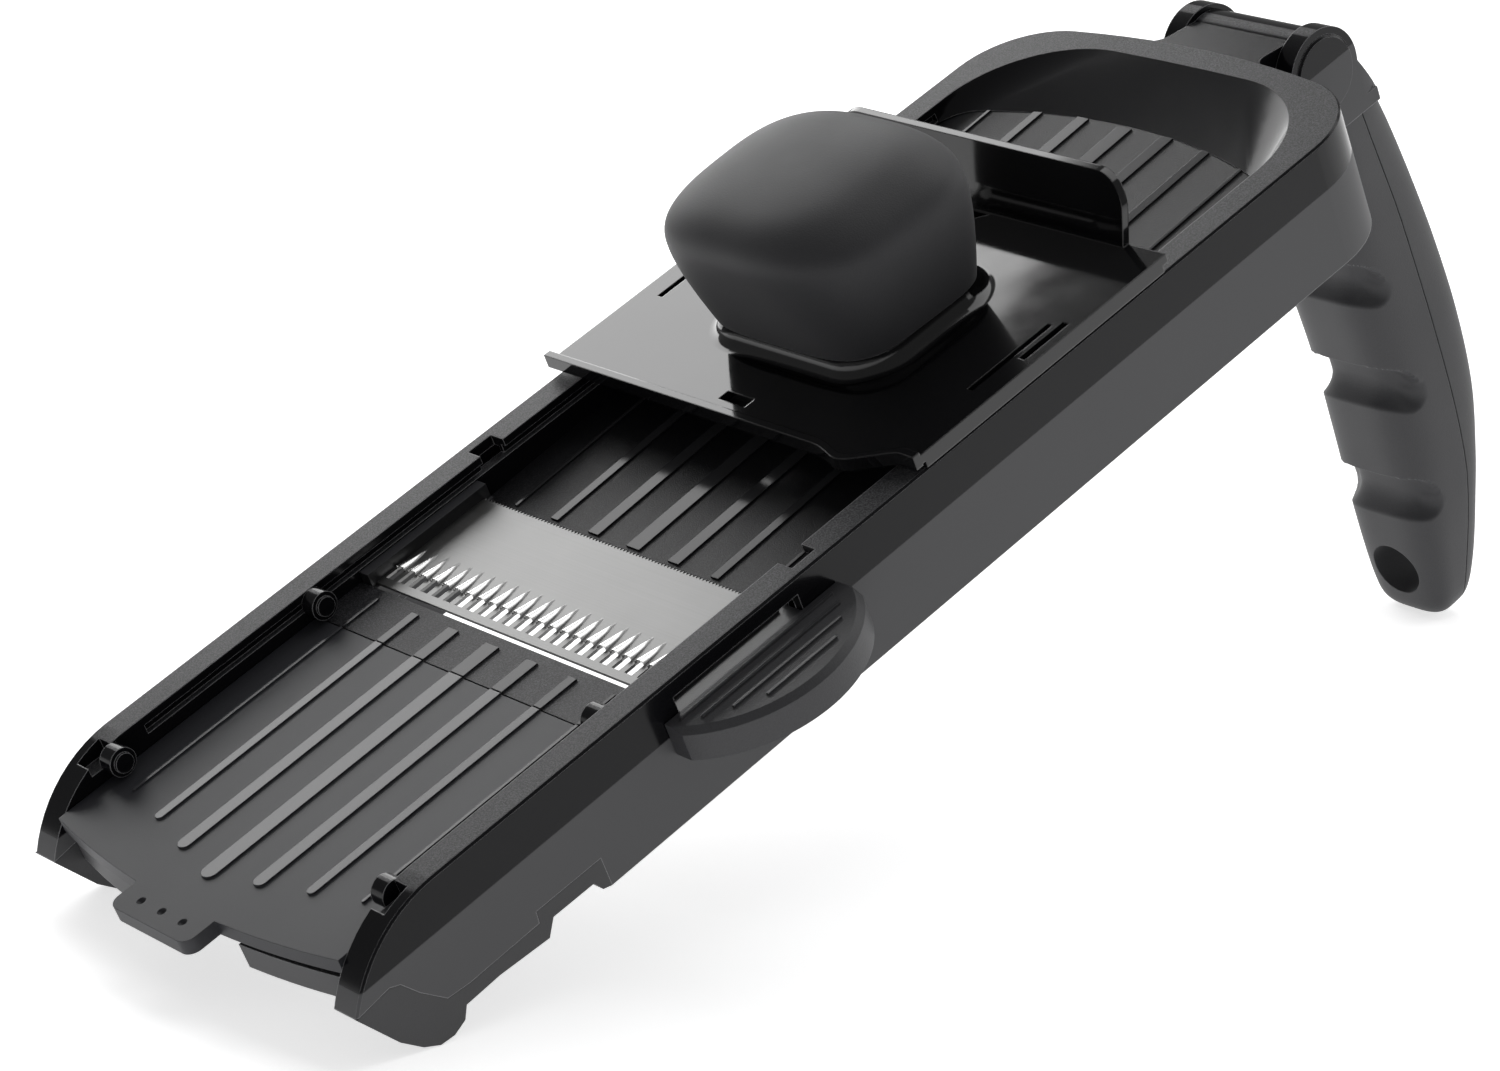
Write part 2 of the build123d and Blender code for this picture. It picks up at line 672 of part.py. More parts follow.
def make_knob_core():
    """The hard shell inside the knob, with a boss for each screw."""
    top = knob_top_w - knob_skin
    shell = knob_form(knob_skin, top) - knob_form(knob_skin + core_skin, top - 4.0)
    cap = rounded(tube_half_u - 5.0, tube_half_v - 5.2, 6.0, knob_v)
    core = shell + plan_prism(cap, piston_top_w, piston_top_w + 3.5)
    for u in (-screw_reach, screw_reach):
        core = core + plan_prism(Pos(u, knob_v) * Circle(3.4), piston_top_w, top - 2.1)
    holes = [Pos(u, knob_v, piston_top_w) * Cylinder(screw_radius, 9.0)
             for u in (-screw_reach, screw_reach)]
    return core - merge(holes)


def make_piston():
    """The hollow piston that runs in the guard's tube."""
    half_u = tube_half_u - tube_wall - gap
    half_v = tube_half_v - tube_wall - gap
    corner = tube_corner - tube_wall - gap
    top = piston_top_w
    outer = plan_prism(rounded(half_u, half_v, corner, knob_v), piston_bottom_w, top)
    inner = plan_prism(rounded(half_u - piston_wall, half_v - piston_wall, corner - piston_wall,
                               knob_v), piston_bottom_w + 2.0, top - 2.5)
    holes = [Pos(u, knob_v, top - 1.2) * Cylinder(screw_radius, 6.0)
             for u in (-screw_reach, screw_reach)]
    return outer - inner - merge(holes)


def make_pusher_screws():
    """Two screws that pull the piston up to the knob."""
    screws = []
    for u in (-screw_reach, screw_reach):
        shank = Pos(u, knob_v, piston_top_w - 0.1) * Cylinder(screw_radius, 5.0)
        head = Pos(u, knob_v, piston_top_w - 3.5) * Cylinder(2.8, 1.8)
        screws.append(shank + head)
    return Compound(children=screws)


def make_spikes():
    """Short steel spikes under the piston that hold the food."""
    spikes = []
    for row in (-1, 0, 1):
        for column in range(-2, 3):
            u = column * spike_pitch[0]
            v = knob_v + row * spike_pitch[1]
            length = piston_bottom_w - spike_tip_w
            spikes.append(Pos(u, v, piston_bottom_w - length / 2) * Rot(180, 0, 0)
                          * Cone(spike_radius, 0.15, length))
    return Compound(children=spikes)


# ---- leg ----
def leg_sections():
    """Sections of the leg: share of its length, front and back past the hinge, half width, corner."""
    return (
        (0.0, -7.0, 22.5, leg_half + 5.5, 12.0),
        (0.1, -6.0, 28.0, leg_half + 3.0, 12.5),
        (0.277, -4.0, 34.0, leg_half + 1.0, 13.0),
        (0.5, -2.5, 36.0, leg_half, 13.0),
        (0.688, -3.2, 32.5, leg_half - 0.5, 13.0),
        (0.865, -3.5, 22.5, leg_half - 2.5, 11.5),
        (1.0, leg_tip_v - hinge_v, 13.0, leg_half - 9.0, 6.2),
    )


def leg_form():
    """The leg's outer form, from its collar to its round tip."""
    faces = []
    for share, front, back, half, corner in leg_sections():
        middle = hinge_v + (front + back) / 2
        face = rounded(half, (back - front) / 2, corner, middle)
        faces.append(Pos(0, 0, leg_level(share)) * face)
    return loft(faces)


def leg_back_cut():
    """The part of the leg behind the joint between its two covers."""
    past_hinge = ((0.16, 15.5), (0.365, 19.5), (0.57, 20.5), (0.747, 18.5), (0.876, 13.0))
    joint = [(hinge_v + v, leg_level(share)) for share, v in past_hinge]
    points = [(hinge_v + 11.0, leg_top_w + 5)] + joint
    points += [(hinge_v + 6.0, leg_end_w - 9), (hinge_v + 55.0, leg_end_w - 9),
               (hinge_v + 55.0, leg_top_w + 5)]
    return side_prism(points, -2 * leg_half, 2 * leg_half)


def leg_hole():
    """The hanging hole, from front to back near the tip."""
    circle = Pos(0, leg_end_w + hole_above_tip) * Circle(hole_radius)
    return extrude(Plane.XZ.offset(-hinge_v + 30) * circle, amount=-80)


def finger_grooves():
    """Three finger grooves across the front of the leg."""
    return [across(groove_radius, -2 * leg_half, 2 * leg_half, hinge_v - groove_set_forward,
                   leg_level(share)) for share in groove_shares]


def core_form():
    """The stiff bar inside the leg's covers."""
    middle = core_back_v - core_depth / 2
    section = Pos(0, middle) * RectangleRounded(core_width, core_depth, 3.0)
    return plan_prism(section, leg_level(core_share), leg_top_w + 1)


def make_leg_grip():
    """The soft front cover with the finger grooves."""
    grip = leg_form() - leg_back_cut() - merge(finger_grooves()) - core_form() - leg_hole()
    return grip - merge(screw_cuts())


def make_leg_back():
    """The back cover of the leg."""
    cover = (leg_form() & leg_back_cut()) - core_form() - leg_hole()
    return cover - merge(screw_cuts())


def screw_cuts():
    """Holes for the leg's screws, from the back of the core outwards."""
    start = Plane.XZ.offset(-core_back_v)
    return [extrude(start * Pos(0, leg_level(share)) * Circle(screw_hole_radius), amount=-60)
            for share, head in leg_screws]


def make_leg_screws():
    """Two screws through the back cover into the core."""
    screws = []
    for share, past_hinge in leg_screws:
        back = hinge_v + past_hinge
        centre = Pos(0, leg_level(share))
        shank = extrude(Plane.XZ.offset(-core_back_v) * centre * Circle(1.6),
                        amount=core_back_v - back)
        head = extrude(Plane.XZ.offset(-back) * centre * Circle(screw_hole_radius - pin_gap),
                       amount=-2.0)
        screws.append(shank + head)
    return Compound(children=screws)


def make_leg_core():
    """Fork, collar and inner bar of the leg."""
    front, back = leg_sections()[0][1:3]
    cheek = across(cheek_radius, fork_inner, fork_outer, hinge_v, hinge_w)
    web = side_prism([(hinge_v - cheek_radius + 2.0, hinge_w - 3),
                      (hinge_v + cheek_radius - 0.4, hinge_w - 3),
                      (hinge_v + 19.5, leg_top_w), (hinge_v + front, leg_top_w)],
                     fork_inner, fork_outer)
    middle = hinge_v + (front + back) / 2
    plan = rounded(leg_half + 4.7, (back - front) / 2 - 0.5, 11.0, middle)
    far = 2 * cheek_radius
    skirt = rounded(fork_outer, (back + far) / 2, 10.0, hinge_v + (back - far) / 2)
    web = web & plan_prism(skirt, leg_top_w, 0)
    collar = plan_prism(plan, leg_top_w, leg_top_w + collar_height)
    shoulder = block(-fork_outer, fork_outer, hinge_v + front, hinge_v + 17.0, leg_top_w,
                     leg_top_w + collar_height)
    core = merge(both(cheek + web) + [collar, shoulder, core_form()])
    core = core - across(barrel_radius + 2.4, -fork_inner, fork_inner, hinge_v, hinge_w)
    core = core - across(hinge_pin_radius, -fork_outer - 1, fork_outer + 1, hinge_v, hinge_w)
    seat = across(cap_radius + pin_gap, fork_outer - cap_seat, fork_outer + 1, hinge_v, hinge_w)
    return core - merge(both(seat))


def make_caps():
    """Round caps over the ends of the hinge pin."""
    cap = across(cap_radius, fork_outer - cap_seat, fork_outer + cap_proud, hinge_v, hinge_w)
    rim = cap.edges().filter_by(GeomType.CIRCLE).sort_by(Axis.X)[-1]
    return Compound(children=both(chamfer(rim, 0.6)))


def make_hinge_pin():
    """The steel pin, held in the fork and running in the lug."""
    reach = fork_outer - cap_seat
    return across(hinge_pin_radius, -reach, reach, hinge_v, hinge_w)


def make_nodes():
    """Every piece, in the board frame."""
    right_foot = foot()
    return {
        "main_frame": make_main_frame(),
        "infeed_ramp": make_ramp(),
        "outlet_deck": make_deck(),
        "front_apron": make_apron(),
        "right_foot": right_foot,
        "left_foot": mirror(right_foot, Plane.YZ),
        "plate_retaining_pins": make_pins(),
        "lower_plate": make_lower_plate(),
        "cartridge_carrier": make_carrier(),
        "blade_plate": make_blade(),
        "blade_rivets": make_rivets(),
        "cartridge_grip": make_grip(),
        "food_guard": make_guard(),
        "knob_cover": make_knob_cover(),
        "knob_core": make_knob_core(),
        "pusher_piston": make_piston(),
        "pusher_screws": make_pusher_screws(),
        "food_spikes": make_spikes(),
        "leg_core": make_leg_core(),
        "leg_grip": make_leg_grip(),
        "leg_back_cover": make_leg_back(),
        "leg_screws": make_leg_screws(),
        "hinge_caps": make_caps(),
        "hinge_pin": make_hinge_pin(),
    }


def place(nodes):
    """Tilt the pieces to the slope and set them with the origin under the middle of their box."""
    tilted = {name: Rot(slope, 0, 0) * shape for name, shape in nodes.items()}
    boxes = [shape.bounding_box() for shape in tilted.values()]
    low = [min(getattr(box.min, axis) for box in boxes) for axis in "XYZ"]
    high = [max(getattr(box.max, axis) for box in boxes) for axis in "XYZ"]
    shift = Pos(-(low[0] + high[0]) / 2, -(low[1] + high[1]) / 2, -low[2])
    print("shift", shift.position, "hole level", leg_end_w + hole_above_tip)
    return {name: shift * shape for name, shape in tilted.items()}


def main():
    os.makedirs("parts", exist_ok=True)
    for name, shape in place(make_nodes()).items():
        export_step(shape, "parts/" + name + ".step")


main()
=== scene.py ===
"""Looks for a mandoline slicer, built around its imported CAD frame.

Lengths are in metres, and in millimetres in the tables and sizes of the modelled shapes.
"""
import json
from math import atan2, cos, radians, sin, sqrt

import bpy
from mathutils import Euler, Matrix, Vector


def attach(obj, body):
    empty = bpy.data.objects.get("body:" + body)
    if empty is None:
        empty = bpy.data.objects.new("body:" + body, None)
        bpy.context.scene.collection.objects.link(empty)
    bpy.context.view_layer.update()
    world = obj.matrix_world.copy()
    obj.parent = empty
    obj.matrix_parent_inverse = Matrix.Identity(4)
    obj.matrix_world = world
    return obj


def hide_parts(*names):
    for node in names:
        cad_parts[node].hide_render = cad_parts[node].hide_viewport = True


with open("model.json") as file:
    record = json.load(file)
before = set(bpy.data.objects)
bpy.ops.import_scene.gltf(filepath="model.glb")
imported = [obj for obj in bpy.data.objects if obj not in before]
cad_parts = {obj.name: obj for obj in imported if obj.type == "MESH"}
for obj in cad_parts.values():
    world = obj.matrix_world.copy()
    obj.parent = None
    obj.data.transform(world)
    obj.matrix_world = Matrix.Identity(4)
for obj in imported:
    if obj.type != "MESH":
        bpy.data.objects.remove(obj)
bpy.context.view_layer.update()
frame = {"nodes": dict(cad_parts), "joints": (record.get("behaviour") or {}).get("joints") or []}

MM = 0.001

# ---- the board frame: u across, v up the slope, w square to the board, w = 0 on the rail tops ----
SLOPE = radians(24.0)
HINGE_V = 290.0 * MM
HINGE_W = -15.0 * MM
JOINTS = {joint["name"]: joint for joint in frame["joints"]}
UP_SLOPE = Vector((0, cos(SLOPE), sin(SLOPE)))
BOARD_NORMAL = Vector((0, -sin(SLOPE), cos(SLOPE)))
BOARD_ORIGIN = Vector(JOINTS["leg_fold"]["pos_m"]) - UP_SLOPE * HINGE_V - BOARD_NORMAL * HINGE_W
BOARD = Matrix.Translation(BOARD_ORIGIN) @ Matrix.Rotation(SLOPE, 4, "X")

# ---- levels of the board that the finishes follow ----
DECK_W = -8.0 * MM
RAMP_LOW = (51.2 * MM, -11.5 * MM)
RAMP_HIGH = (240.0 * MM, -5.0 * MM)
RIB_SIDES = (0.35 * MM, 0.45 * MM)      # heights between which a rib's side turns into its top
SKIRT_W = -12.8 * MM        # the frame's sides are matt below this, and painted lighter there as a reflection of the floor
PULL_W = -8.5 * MM          # the ridges of the crescent pull stand above this


# ---- camera, lights and floor ----
LENS = 108.0                # focal length and sensor width, in mm
SENSOR_WIDTH = 36.0
CAMERA_OFFSET = Vector((0.8158, -0.6148, 0.3472))       # from the board's origin
CAMERA_TURN = (72.469, -0.257, 49.243)                  # degrees about x, y and z
LIT_POINT = Vector((0, 0, 0.09))
SOFTBOXES = (           # name, direction from the lit point, distance, size, power in watts
    ("left_softbox", (-0.853, 0.230, 0.468), 1.276, (0.95, 0.75), 8.5),
    ("overhead_softbox", (-0.1, 0.5, 1.0), 1.9, (1.7, 1.5), 14.0),
    ("rear_softbox", (0.35, 1.0, 0.45), 1.6, (1.6, 0.8), 4.0),
)
SURROUND_STRENGTH = 0.22
FLOOR_SIZE = 30.0
FLOOR_Z = -0.0002
FLOOR_GLOW = 0.66
WHITE = (1, 1, 1, 1)


def make_camera():
    """The camera, above the low right-hand end."""
    data = bpy.data.cameras.new("camera")
    data.lens = LENS
    data.sensor_width = SENSOR_WIDTH
    camera = bpy.data.objects.new("camera", data)
    bpy.context.scene.collection.objects.link(camera)
    camera.location = BOARD_ORIGIN + CAMERA_OFFSET
    camera.rotation_euler = Euler([radians(angle) for angle in CAMERA_TURN])
    bpy.context.scene.camera = camera


def softbox(name, direction, distance, size, power):
    """A rectangular soft light that faces the lit point."""
    data = bpy.data.lights.new(name, "AREA")
    data.shape = "RECTANGLE"
    data.size, data.size_y = size
    data.energy = power
    light = bpy.data.objects.new(name, data)
    bpy.context.scene.collection.objects.link(light)
    light.location = LIT_POINT + Vector(direction).normalized() * distance
    light.rotation_euler = (LIT_POINT - light.location).to_track_quat("-Z", "Y").to_euler()


def make_studio():
    """Soft lights, a dim surround and a plain pale floor."""
    for light in SOFTBOXES:
        softbox(*light)
    world = bpy.data.worlds.new("surround")
    world.use_nodes = True
    background = world.node_tree.nodes["Background"]
    background.inputs["Color"].default_value = WHITE
    background.inputs["Strength"].default_value = SURROUND_STRENGTH
    bpy.context.scene.world = world
    bpy.ops.mesh.primitive_plane_add(size=FLOOR_SIZE, location=(0, 0, FLOOR_Z))
    floor = bpy.context.object
    floor.name = "floor"
    paper = Finish("floor_paper", base=(0.9, 0.9, 0.905), roughness=0.7,
                   emission_color=WHITE, emission_strength=FLOOR_GLOW)
    floor.data.materials.append(paper.material)
    bpy.context.scene.view_settings.view_transform = "Standard"


# ---- shader expressions ----
class Value:
    """A shader socket that takes part in Python arithmetic."""

    def __init__(self, finish, socket):
        self.finish = finish
        self.socket = socket

    def maths(self, operation, *values):
        return self.finish.node("Math", {"operation": operation}, dict(enumerate(values)))

    def __add__(self, other):
        return self.maths("ADD", self, other)

    def __radd__(self, other):
        return self.maths("ADD", other, self)

    def __sub__(self, other):
        return self.maths("SUBTRACT", self, other)

    def __rsub__(self, other):
        return self.maths("SUBTRACT", other, self)

    def __mul__(self, other):
        return self.maths("MULTIPLY", self, other)

    def __rmul__(self, other):
        return self.maths("MULTIPLY", other, self)

    def over(self, start, end):
        """0 below start, 1 above end, and a smooth rise between."""
        return self.finish.node("MapRange", {"interpolation_type": "SMOOTHSTEP"},
                                {"Value": self, "From Min": start, "From Max": end})


# a Mix node's sockets when it mixes colours
MIX_FACTOR, MIX_A, MIX_B, MIX_RESULT = 0, 6, 7, 2


class Finish:
    """One procedural material around a Principled shader."""

    def __init__(self, name, base, roughness, **constants):
        self.material = bpy.data.materials.new(name)
        self.material.use_nodes = True
        self.material.diffuse_color = (*base, 1)
        self.tree = self.material.node_tree
        self.tree.nodes.clear()
        self.shader = self.tree.nodes.new("ShaderNodeBsdfPrincipled")
        output = self.tree.nodes.new("ShaderNodeOutputMaterial")
        self.tree.links.new(self.shader.outputs[0], output.inputs["Surface"])
        self.set("Base Color", (*base, 1))
        self.set("Roughness", roughness)
        for socket, value in constants.items():
            self.set(socket.replace("_", " ").title().replace("Ior", "IOR"), value)
        self.place = self.node("TexCoord", out="Object")

    def node(self, kind, settings=None, values=None, out=0):
        """A node of any type: its settings first, then its sockets' values or links."""
        made = self.tree.nodes.new("ShaderNode" + kind)
        for name, value in (settings or {}).items():
            setattr(made, name, value)
        for name, value in (values or {}).items():
            self.feed(made.inputs[name], value)
        return Value(self, made.outputs[out])

    def feed(self, socket, value):
        if isinstance(value, Value):
            self.tree.links.new(value.socket, socket)
        else:
            socket.default_value = value

    def set(self, socket, value):
        self.feed(self.shader.inputs[socket], value)

    def mix(self, factor, a, b):
        """A colour between a and b."""
        values = {MIX_FACTOR: factor, MIX_A: self.opaque(a), MIX_B: self.opaque(b)}
        return self.node("Mix", {"data_type": "RGBA"}, values, out=MIX_RESULT)

    def opaque(self, colour):
        return colour if isinstance(colour, Value) else (*colour, 1)

    def noise(self, scale, detail=2.0, vector=None):
        """A noise of that many features per metre."""
        values = {"Vector": vector or self.place, "Scale": scale, "Detail": detail}
        return self.node("TexNoise", {}, values)

    def on_board(self):
        """This point's place up the slope and its height off the rails, both in the board frame."""
        turned = self.node("Mapping", {"vector_type": "TEXTURE"}, {
            "Vector": self.place, "Location": BOARD_ORIGIN, "Rotation": (SLOPE, 0, 0)})
        return [self.node("SeparateXYZ", {}, {"Vector": turned}, out=axis) for axis in "YZ"]

    def height(self):
        """This point's height off the rails."""
        return self.on_board()[1]

    def stretched(self, scale):
        """Object coordinates in the board's directions, scaled along each."""
        return self.node("Mapping", {}, {
            "Vector": self.place, "Rotation": (-SLOPE, 0, 0), "Scale": scale})

    def facing(self, direction):
        """How much the surface faces a direction, from -1 to 1."""
        normal = self.node("TexCoord", out="Normal")
        return self.node("VectorMath", {"operation": "DOT_PRODUCT"},
                         {0: normal, 1: direction}, out="Value")

    def edge(self, radius):
        """1 along the piece's sharp edges, 0 away from them."""
        rounded = self.node("Bevel", {"samples": 6}, {"Radius": radius})
        flat = self.node("NewGeometry", out="Normal")
        together = self.node("VectorMath", {"operation": "DOT_PRODUCT"}, {0: rounded, 1: flat},
                             out="Value")
        return (1 - together).over(0.02, 0.25)

    def relief(self, height, distance, strength=1.0, edge=0.4 * MM):
        """Fine relief over softly rounded edges."""
        values = {"Height": height, "Distance": distance, "Strength": strength}
        if edge:
            values["Normal"] = self.node("Bevel", {"samples": 4}, {"Radius": edge})
        self.set("Normal", self.node("Bump", {}, values))


# ---- finishes ----
def frame_plastic():
    """Satin black frame moulding: grained on the faces that look up, matt low on its sides and
    painted lighter there as a reflection of the floor, with a painted highlight along its sharp
    edges.
    """
    f = Finish("frame_black_satin", (0.01, 0.01, 0.011), 0.3, specular_ior_level=0.2)
    w = f.height()
    top = f.facing(BOARD_NORMAL).over(0.985, 0.995)
    # painted reflection: below SKIRT_W the sides are matt and also painted lighter, standing in for
    # the floor they reflect
    matt_skirt_painted_reflection = (1 - (w - SKIRT_W).over(-0.3 * MM, 0.3 * MM)) * (1 - top)
    grain = f.noise(2600, 3.0)
    cloud = f.noise(40, 2.0)
    # painted highlight: the edge mask lightens the colour towards grey along every sharp edge,
    # standing in for bright edge reflections
    edge = f.edge(0.5 * MM)
    # the sides' colour: near black above, painted lighter below as a reflection of the floor
    smooth = f.mix(matt_skirt_painted_reflection, (0.005, 0.005, 0.006), (0.085, 0.085, 0.088))
    body = f.mix(top, smooth, f.mix(grain.over(0.35, 0.7), (0.016, 0.016, 0.018),
                                    (0.085, 0.085, 0.089)))
    f.set("Base Color", f.mix(edge * 0.8, body, (0.42, 0.42, 0.43)))
    f.set("Roughness", 0.13 + 0.05 * cloud + top * 0.26 + matt_skirt_painted_reflection * 0.34)
    f.relief(grain * (0.06 + 0.94 * top), 0.12 * MM, 0.6, 0.45 * MM)
    return f.material


def deck_plastic():
    """Grained deck and ramp with polished ribs, the grain's light specks faded out up the slope as
    painted shade under the guard.
    """
    f = Finish("deck_black_grained", (0.02, 0.02, 0.022), 0.4, specular_ior_level=0.25)
    v, w = f.on_board()
    rise = (RAMP_HIGH[1] - RAMP_LOW[1]) / (RAMP_HIGH[0] - RAMP_LOW[0])
    ramp = (v - RAMP_LOW[0]) * rise + RAMP_LOW[1]
    on_ramp = v.over(RAMP_LOW[0] - 1.5 * MM, RAMP_LOW[0] - 0.5 * MM)
    surface = ramp * on_ramp + (1 - on_ramp) * DECK_W
    rib = (w - surface).over(*RIB_SIDES)
    grain = f.noise(2600, 3.0)
    # painted shade: the grain's light specks fade out from 20 to 80 mm up the slope, darkening the
    # ramp under the guard
    unshaded_low_part = 1 - v.over(20 * MM, 80 * MM)
    speck = grain.over(0.4, 0.7) * (0.15 + 0.85 * unshaded_low_part)
    f.set("Base Color", f.mix(rib, f.mix(speck, (0.004, 0.004, 0.005), (0.06, 0.06, 0.065)),
                              (0.03, 0.03, 0.032)))
    f.set("Roughness", 0.44 - rib * 0.3)
    f.relief(grain * (1 - rib), 0.14 * MM, 0.6, 0.2 * MM)
    return f.material


def plate_plastic():
    """Slate-grey lower plate, matt between its polished ribs."""
    f = Finish("plate_slate", (0.036, 0.037, 0.042), 0.46, specular_ior_level=0.4)
    rib = (f.height() - DECK_W).over(*RIB_SIDES)
    fine = f.noise(3200, 2.0)
    smear = f.noise(30, 3.0, f.stretched((1.0, 0.25, 1.0)))
    f.set("Base Color", f.mix(rib, f.mix(fine, (0.021, 0.0215, 0.025), (0.027, 0.0275, 0.032)),
                              (0.05, 0.05, 0.054)))
    f.set("Roughness", 0.44 + 0.06 * smear - rib * (0.26 + 0.05 * smear))
    f.relief(fine * (1 - rib), 0.05 * MM, 0.35, 0.25 * MM)
    return f.material


def carrier_plastic():
    """Dark plastic of the cartridge carrier, with painted light on the faces that look up."""
    f = Finish("carrier_black", (0.014, 0.014, 0.015), 0.32)
    # painted light from above: the faces that look up get a lighter colour than the sides
    top = f.facing(BOARD_NORMAL).over(0.9, 0.97)
    fine = f.noise(2600, 2.0)
    f.set("Base Color", f.mix(top, (0.012, 0.012, 0.013), (0.05, 0.05, 0.054)))
    f.relief(fine, 0.08 * MM, 0.35, 0.3 * MM)
    return f.material


def blade_steel():
    """Satin rolled steel, brushed along the blade, bright on its flutes."""
    f = Finish("blade_satin_steel", (0.68, 0.68, 0.67), 0.3, metallic=1.0)
    raised = (f.height() - DECK_W).over(0.0, 0.25 * MM)
    brushed = f.noise(260, 5.0, f.stretched((0.05, 9.0, 1.0)))
    cloud = f.noise(70, 2.0)
    f.set("Base Color", f.mix(raised, f.mix(brushed, (0.19, 0.19, 0.188), (0.24, 0.24, 0.238)),
                              (0.7, 0.7, 0.695)))
    f.set("Roughness", 0.34 + 0.08 * brushed - raised * 0.14 + 0.04 * cloud)
    f.relief(brushed, 0.02 * MM, 0.25, 0.12 * MM)
    return f.material


def fastener_steel():
    """Plain zinc-plated steel of screws, pins and spikes."""
    f = Finish("fastener_steel", (0.6, 0.6, 0.6), 0.32, metallic=1.0)
    turned = f.noise(900, 3.0)
    f.set("Roughness", 0.26 + 0.16 * turned)
    f.relief(turned, 0.02 * MM, 0.3, 0.15 * MM)
    return f.material


def guard_gloss():
    """Piano-black polished guard, very slightly wavy as moulded."""
    f = Finish("guard_piano_black", (0.004, 0.004, 0.0045), 0.05, specular_ior_level=0.55)
    wave = f.noise(22, 1.5)
    haze = f.noise(160, 3.0)
    f.set("Roughness", 0.045 + 0.05 * haze)
    f.relief(wave, 1.0 * MM, 0.16, 0.5 * MM)
    return f.material


def soft_touch(name, base, speckle):
    """Soft-touch rubber skin with a fine speckle."""
    f = Finish(name, base, 0.6, sheen_weight=0.12, sheen_roughness=0.5)
    fine = f.noise(2400, 3.0)
    cloud = f.noise(45, 3.0)
    light = tuple(channel * speckle for channel in base)
    f.set("Base Color", f.mix(fine, base, light))
    f.set("Roughness", 0.54 + 0.1 * cloud)
    f.relief(fine, 0.12 * MM, 0.4, 0.5 * MM)
    return f.material


def grip_rubber():
    """Grained rubber of the crescent pull, worn smooth on its ridges."""
    f = Finish("pull_rubber_grained", (0.03, 0.03, 0.032), 0.5)
    ridge = (f.height() - PULL_W).over(0.35 * MM, 0.5 * MM)
    fine = f.noise(2400, 3.0)
    f.set("Base Color", f.mix(fine, (0.022, 0.022, 0.024), (0.046, 0.046, 0.05)))
    f.set("Roughness", 0.48 - ridge * 0.2)
    f.relief(fine * (1 - ridge * 0.8), 0.12 * MM, 0.5, 0.35 * MM)
    return f.material


# ---- modelling helpers ----
def deselect():
    """Nothing selected and nothing active."""
    if bpy.context.object and bpy.context.object.mode != "OBJECT":
        bpy.ops.object.mode_set(mode="OBJECT")
    bpy.ops.object.select_all(action="DESELECT")


def only(piece):
    """This piece alone is selected and active."""
    deselect()
    piece.select_set(True)
    bpy.context.view_layer.objects.active = piece


def add_modifier(piece, kind, **settings):
    """Adds a modifier, sets it and applies it."""
    only(piece)
    modifier = piece.modifiers.new(kind.lower(), kind)
    for name, value in settings.items():
        setattr(modifier, name, value)
    bpy.ops.object.modifier_apply(modifier=modifier.name)


def extrude_up(steps):
    """Extrudes what is selected by that many steps of 1 in z."""
    for _ in range(steps):
        bpy.ops.mesh.extrude_region_move(TRANSFORM_OT_translate={"value": (0, 0, 1)})


def face_outwards():
    """Turns all faces of the active piece outwards."""
    bpy.ops.object.mode_set(mode="EDIT")
    bpy.ops.mesh.select_all(action="SELECT")
    bpy.ops.mesh.normals_make_consistent(inside=False)
    bpy.ops.object.mode_set(mode="OBJECT")


def rolled_tube(name, segments, rings, form, open_start=False):
    """A tube with a closed end, each vertex placed by form(share along, angle)."""
    deselect()
    bpy.ops.mesh.primitive_circle_add(vertices=segments, radius=1.0, location=(0, 0, 0))
    piece = bpy.context.object
    piece.name = name
    bpy.ops.object.mode_set(mode="EDIT")
    bpy.ops.mesh.select_all(action="SELECT")
    if not open_start:
        bpy.ops.mesh.edge_face_add()
        bpy.ops.mesh.select_all(action="SELECT")
    extrude_up(rings)
    if open_start:
        bpy.ops.mesh.edge_face_add()
    bpy.ops.object.mode_set(mode="OBJECT")
    for vertex in piece.data.vertices:
        share = round(vertex.co.z) / rings
        vertex.co = form(share, atan2(vertex.co.y, vertex.co.x))
    return piece


def settle(piece, body, slot_name, material, *nodes, smooth=40):
    """Moves a piece from the board frame to its place, and gives it its finish and body."""
    only(piece)
    piece.matrix_world = BOARD
    bpy.ops.object.transform_apply(location=True, rotation=True, scale=True)
    face_outwards()
    bpy.ops.object.shade_smooth_by_angle(angle=radians(smooth))
    piece.data.materials.clear()
    piece.data.materials.append(material)
    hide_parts(*nodes)
    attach(piece, body)


def curve_through(stations, place):
    """A smooth value at place, through (place, value) stations in rising order."""
    last = len(stations) - 1
    for i in range(last):
        if place <= stations[i + 1][0]:
            break
    (x0, y0), (x1, y1) = stations[i], stations[i + 1]
    before = stations[max(i - 1, 0)]
    after = stations[min(i + 2, last)]
    slope0 = (y1 - before[1]) / (x1 - before[0])
    slope1 = (after[1] - y0) / (after[0] - x0)
    span = x1 - x0
    t = min(max((place - x0) / span, 0.0), 1.0)
    return ((2 * t ** 3 - 3 * t ** 2 + 1) * y0 + (t ** 3 - 2 * t ** 2 + t) * span * slope0
            + (3 * t ** 2 - 2 * t ** 3) * y1 + (t ** 3 - t ** 2) * span * slope1)


def squircle(angle, half_u, half_v, power):
    """A point on a rounded rectangle drawn as a superellipse."""
    c, s = cos(angle), sin(angle)
    u = half_u * (1 if c >= 0 else -1) * abs(c) ** (2 / power)
    v = half_v * (1 if s >= 0 else -1) * abs(s) ** (2 / power)
    return u, v


